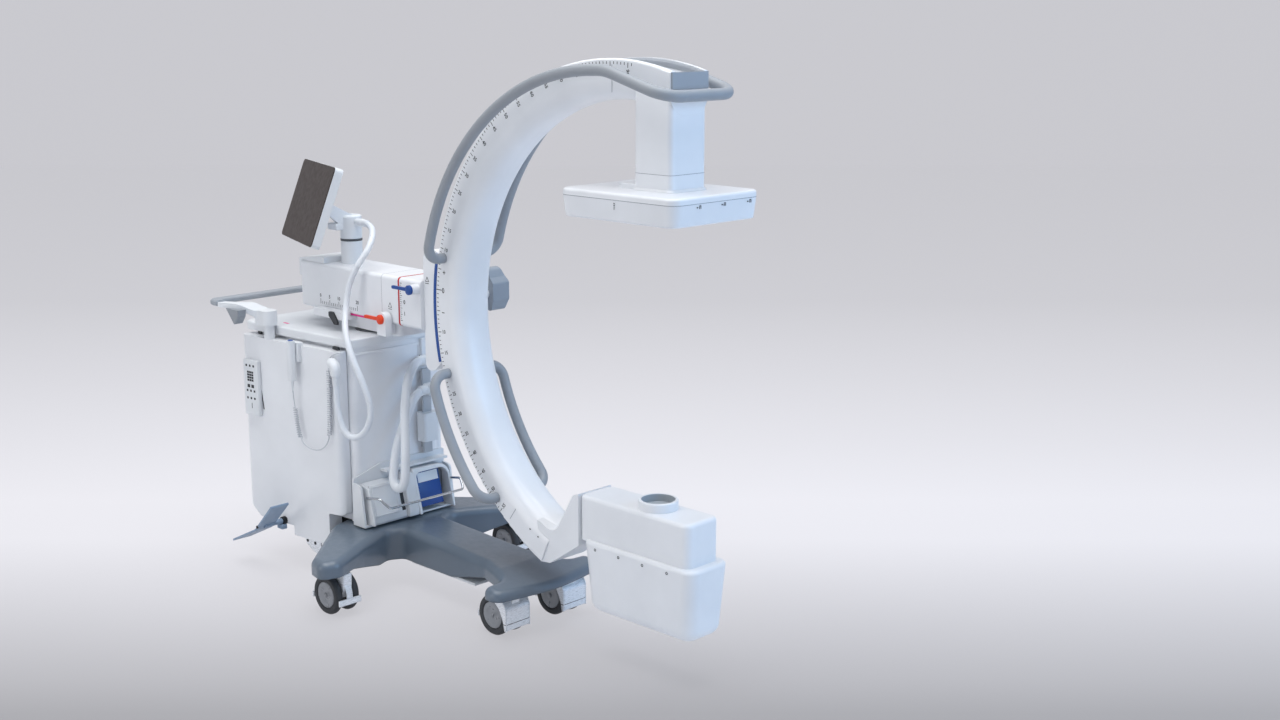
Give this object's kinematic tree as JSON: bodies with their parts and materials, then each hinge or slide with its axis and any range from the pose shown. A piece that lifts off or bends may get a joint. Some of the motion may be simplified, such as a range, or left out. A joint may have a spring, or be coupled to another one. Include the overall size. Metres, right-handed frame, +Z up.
{
  "type": "mobile c-arm",
  "caption": "Mobile X-ray C-arm: wheeled cart with lift column, sliding boom and a motor-free C that rotates and orbits, carrying detector and tube tank.",
  "frame": {"origin": "on the floor, under the middle of the whole machine's box at rest", "axes": "+Z up, +X from the cart towards the open side of the C, +Y to the machine's left"},
  "size_m": [1.944, 0.9132, 1.6949],
  "materials": {
    "white_shell": "satin",
    "white_plastic": "satin",
    "light_grey_plastic": "satin",
    "grey_grip": "matte",
    "base_grey": "satin",
    "dark_steel": "satin",
    "silver": "satin",
    "chrome_wire": "polished",
    "tyre_rubber": "matte",
    "screen_glass": "gloss",
    "cable_white": "satin",
    "pedal_grey": "satin",
    "dark_ring": "matte"
  },
  "bodies": {
    "cart": {"base_casting": "base_grey", "brake_pedals": "pedal_grey", "cable_gland": "white_plastic", "cart_body": "white_shell", "chassis": "dark_steel", "column_ring": "dark_ring", "foot_switch": "light_grey_plastic", "front_rail": "light_grey_plastic", "handle_brackets": "white_plastic", "handle_gussets": "grey_grip", "handset": "white_plastic", "handset_cord": "cable_white", "handset_curls": "cable_white", "handset_holder": "white_plastic", "hose_clamp": "white_plastic", "monitor_cable_lower": "cable_white", "push_handle": "grey_grip", "rail_sleeve": "white_plastic", "remote_control": "white_plastic", "side_panel_left": "white_shell", "side_panel_right": "white_shell", "storage_tray": "white_plastic", "supply_hose": "cable_white", "switch_handle": "chrome_wire", "switch_pedals": "white_plastic", "top_deck": "white_plastic"},
    "lift": {"lift_column": "silver"},
    "wigwag": {"swivel_block": "white_shell", "brake_levers": "dark_steel"},
    "boom": {"boom_housing": "white_shell", "boom_cowl": "white_plastic", "monitor_stem": "white_plastic"},
    "rotor": {"rotation_sleeve": "white_shell", "carriage": "white_shell", "c_levers": "dark_steel"},
    "c_arm": {"c_arc": "white_shell", "arc_end_cap": "grey_grip", "grab_rails": "grey_grip", "detector_column": "white_shell", "detector_housing": "white_shell", "tube_arm": "white_shell", "tube_tank": "white_shell"},
    "monitor_arm": {"monitor_head": "white_plastic", "monitor_cable_upper": "cable_white"},
    "monitor": {"monitor_shell": "white_plastic", "monitor_screen": "screen_glass"},
    "swivel_rear_right": {"caster_fork_rear_right": "silver"},
    "wheels_rear_right": {"caster_wheels_rear_right": "tyre_rubber"},
    "swivel_rear_left": {"caster_fork_rear_left": "silver"},
    "wheels_rear_left": {"caster_wheels_rear_left": "tyre_rubber"},
    "swivel_front_right": {"caster_fork_front_right": "silver"},
    "wheels_front_right": {"caster_wheels_front_right": "tyre_rubber"},
    "swivel_front_left": {"caster_fork_front_left": "silver"},
    "wheels_front_left": {"caster_wheels_front_left": "tyre_rubber"},
    "steer_right": {"steer_fork_right": "dark_steel"},
    "steer_wheel_right": {"steer_wheel_right": "tyre_rubber"},
    "steer_left": {"steer_fork_left": "dark_steel"},
    "steer_wheel_left": {"steer_wheel_left": "tyre_rubber"}
  },
  "joints": [
    {"name": "lift", "type": "slide", "parent": "cart", "child": "lift", "axis": [0, 0, 1], "range_m": [0, 0.42]},
    {"name": "wigwag", "type": "hinge", "parent": "lift", "child": "wigwag", "pos_m": [-0.499, 0, 0.83], "axis": [0, 0, 1], "range_deg": [-12.5, 12.5]},
    {"name": "boom_slide", "type": "slide", "parent": "wigwag", "child": "boom", "axis": [1, 0, 0], "range_m": [0, 0.2]},
    {"name": "c_rotation", "type": "hinge", "parent": "boom", "child": "rotor", "pos_m": [-0.277, 0, 0.935], "axis": [1, 0, 0], "range_deg": [-180, 180]},
    {"name": "orbital", "type": "hinge", "parent": "rotor", "child": "c_arm", "pos_m": [0.658, 0, 0.935], "axis": [0, 1, 0], "range_deg": [-90, 45]},
    {"name": "monitor_swivel", "type": "hinge", "parent": "boom", "child": "monitor_arm", "pos_m": [-0.619, 0, 1.1], "axis": [0, 0, 1], "range_deg": [-90, 90]},
    {"name": "monitor_tilt", "type": "hinge", "parent": "monitor_arm", "child": "monitor", "pos_m": [-0.64568, -0.08913, 1.19935], "axis": [0.9455, -0.3256, 0], "range_deg": [-20, 35]},
    {"name": "caster_swivel_rear_right", "type": "hinge", "parent": "cart", "child": "swivel_rear_right", "pos_m": [-0.231, -0.362, 0.15], "axis": [0, 0, 1], "continuous": true},
    {"name": "caster_spin_rear_right", "type": "hinge", "parent": "swivel_rear_right", "child": "wheels_rear_right", "pos_m": [-0.263, -0.362, 0.0625], "axis": [0, 1, 0], "continuous": true},
    {"name": "caster_swivel_rear_left", "type": "hinge", "parent": "cart", "child": "swivel_rear_left", "pos_m": [-0.231, 0.362, 0.15], "axis": [0, 0, 1], "continuous": true},
    {"name": "caster_spin_rear_left", "type": "hinge", "parent": "swivel_rear_left", "child": "wheels_rear_left", "pos_m": [-0.263, 0.362, 0.0625], "axis": [0, 1, 0], "continuous": true},
    {"name": "caster_swivel_front_right", "type": "hinge", "parent": "cart", "child": "swivel_front_right", "pos_m": [0.264, -0.116, 0.15], "axis": [0, 0, 1], "continuous": true},
    {"name": "caster_spin_front_right", "type": "hinge", "parent": "swivel_front_right", "child": "wheels_front_right", "pos_m": [0.232, -0.116, 0.0625], "axis": [0, 1, 0], "continuous": true},
    {"name": "caster_swivel_front_left", "type": "hinge", "parent": "cart", "child": "swivel_front_left", "pos_m": [0.264, 0.116, 0.15], "axis": [0, 0, 1], "continuous": true},
    {"name": "caster_spin_front_left", "type": "hinge", "parent": "swivel_front_left", "child": "wheels_front_left", "pos_m": [0.232, 0.116, 0.0625], "axis": [0, 1, 0], "continuous": true},
    {"name": "steer_right", "type": "hinge", "parent": "cart", "child": "steer_right", "pos_m": [-0.569, -0.11, 0.15], "axis": [0, 0, 1], "range_deg": [-90, 90]},
    {"name": "steer_spin_right", "type": "hinge", "parent": "steer_right", "child": "steer_wheel_right", "pos_m": [-0.569, -0.11, 0.0625], "axis": [0, 1, 0], "continuous": true},
    {"name": "steer_left", "type": "hinge", "parent": "cart", "child": "steer_left", "pos_m": [-0.569, 0.11, 0.15], "axis": [0, 0, 1], "range_deg": [-90, 90]},
    {"name": "steer_spin_left", "type": "hinge", "parent": "steer_left", "child": "steer_wheel_left", "pos_m": [-0.569, 0.11, 0.0625], "axis": [0, 1, 0], "continuous": true}
  ],
  "couplings": [
    {"joint": "steer_left", "follows": "steer_right", "ratio": 1}
  ]
}
